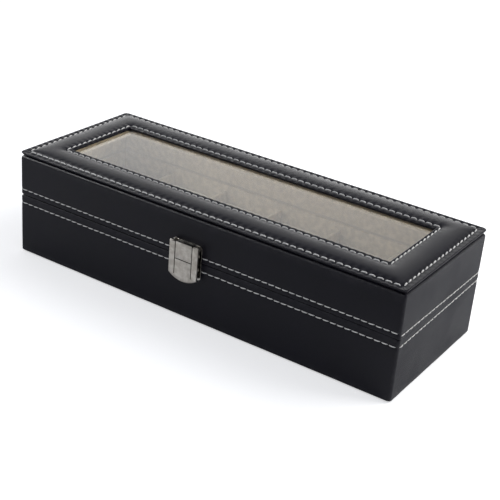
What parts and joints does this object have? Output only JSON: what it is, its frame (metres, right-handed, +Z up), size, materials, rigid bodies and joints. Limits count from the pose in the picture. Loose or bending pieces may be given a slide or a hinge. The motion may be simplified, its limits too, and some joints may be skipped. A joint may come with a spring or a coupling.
{
  "type": "watch and jewelry box",
  "caption": "Long leather-covered watch and jewelry box: hinged lid with a glass window in a padded stitched frame, swinging metal clasp, and velvet compartments with cushions.",
  "frame": {"origin": "middle of the underside, on the surface that the box stands on", "axes": "+X along the front to the right, +Y from the clasp towards the hinges, +Z up"},
  "size_m": [0.3, 0.123, 0.0783],
  "materials": {
    "black_leather": "satin grained black imitation leather",
    "cream_velvet": "matt short-pile cream velvet",
    "fibreboard": "raw fibreboard, hidden under the coverings",
    "padding_foam": "soft foam, hidden under the leather",
    "black_felt": "matt felt",
    "satin_nickel": "satin nickel-plated steel",
    "window_glass": "clear polished glass",
    "white_thread": "off-white waxed sewing thread of the seams"
  },
  "bodies": {
    "base": {"base_back_board": "fibreboard", "base_bottom_board": "fibreboard", "base_felt_sheet": "black_felt", "base_front_board": "fibreboard", "base_hinge_screw_1": "satin_nickel", "base_hinge_screw_2": "satin_nickel", "base_hinge_screw_3": "satin_nickel", "base_hinge_screw_4": "satin_nickel", "base_leather_wrap": "black_leather", "base_left_board": "fibreboard", "base_right_board": "fibreboard", "clasp_keeper_plate": "satin_nickel", "clasp_keeper_screw_1": "satin_nickel", "clasp_keeper_screw_2": "satin_nickel", "divider_1": "cream_velvet", "divider_2": "cream_velvet", "divider_3": "cream_velvet", "divider_4": "cream_velvet", "divider_5": "cream_velvet", "left_hinge_base_leaf": "satin_nickel", "left_hinge_pin": "satin_nickel", "right_hinge_base_leaf": "satin_nickel", "right_hinge_pin": "satin_nickel", "tray_back_liner": "cream_velvet", "tray_floor_pad": "cream_velvet", "tray_front_liner": "cream_velvet", "tray_left_liner": "cream_velvet", "tray_right_liner": "cream_velvet"},
    "lid": {"cap_board": "fibreboard", "cap_foam_ring": "padding_foam", "cap_leather": "black_leather", "clasp_lid_plate": "satin_nickel", "clasp_lid_screw_1": "satin_nickel", "clasp_lid_screw_2": "satin_nickel", "clasp_pin": "satin_nickel", "glass_pane": "window_glass", "glass_retaining_frame": "cream_velvet", "left_hinge_lid_leaf": "satin_nickel", "lid_back_board": "fibreboard", "lid_back_liner": "cream_velvet", "lid_front_board": "fibreboard", "lid_front_liner": "cream_velvet", "lid_hinge_screw_1": "satin_nickel", "lid_hinge_screw_2": "satin_nickel", "lid_hinge_screw_3": "satin_nickel", "lid_hinge_screw_4": "satin_nickel", "lid_leather_wrap": "black_leather", "lid_left_board": "fibreboard", "lid_left_liner": "cream_velvet", "lid_right_board": "fibreboard", "lid_right_liner": "cream_velvet", "lid_top_board": "fibreboard", "right_hinge_lid_leaf": "satin_nickel"},
    "clasp_flap": {"clasp_flap": "satin_nickel"},
    "cushion_1": {"cushion_1": "cream_velvet"},
    "cushion_2": {"cushion_2": "cream_velvet"},
    "cushion_3": {"cushion_3": "cream_velvet"},
    "cushion_4": {"cushion_4": "cream_velvet"},
    "cushion_5": {"cushion_5": "cream_velvet"},
    "cushion_6": {"cushion_6": "cream_velvet"}
  },
  "joints": [
    {"name": "lid_hinge", "type": "hinge", "parent": "base", "child": "lid", "pos_m": [0, 0.05915, 0.0439], "axis": [-1, 0, 0], "range_deg": [0, 100]},
    {"name": "clasp_flap_hinge", "type": "hinge", "parent": "lid", "child": "clasp_flap", "pos_m": [-0.0035, -0.0597, 0.0543], "axis": [-1, 0, 0], "range_deg": [0, 90]},
    {"name": "cushion_1_lift", "type": "slide", "parent": "base", "child": "cushion_1", "axis": [0, 0, 1], "range_m": [0, 0.0275]},
    {"name": "cushion_2_lift", "type": "slide", "parent": "base", "child": "cushion_2", "axis": [0, 0, 1], "range_m": [0, 0.0275]},
    {"name": "cushion_3_lift", "type": "slide", "parent": "base", "child": "cushion_3", "axis": [0, 0, 1], "range_m": [0, 0.0275]},
    {"name": "cushion_4_lift", "type": "slide", "parent": "base", "child": "cushion_4", "axis": [0, 0, 1], "range_m": [0, 0.0275]},
    {"name": "cushion_5_lift", "type": "slide", "parent": "base", "child": "cushion_5", "axis": [0, 0, 1], "range_m": [0, 0.0275]},
    {"name": "cushion_6_lift", "type": "slide", "parent": "base", "child": "cushion_6", "axis": [0, 0, 1], "range_m": [0, 0.0275]}
  ]
}
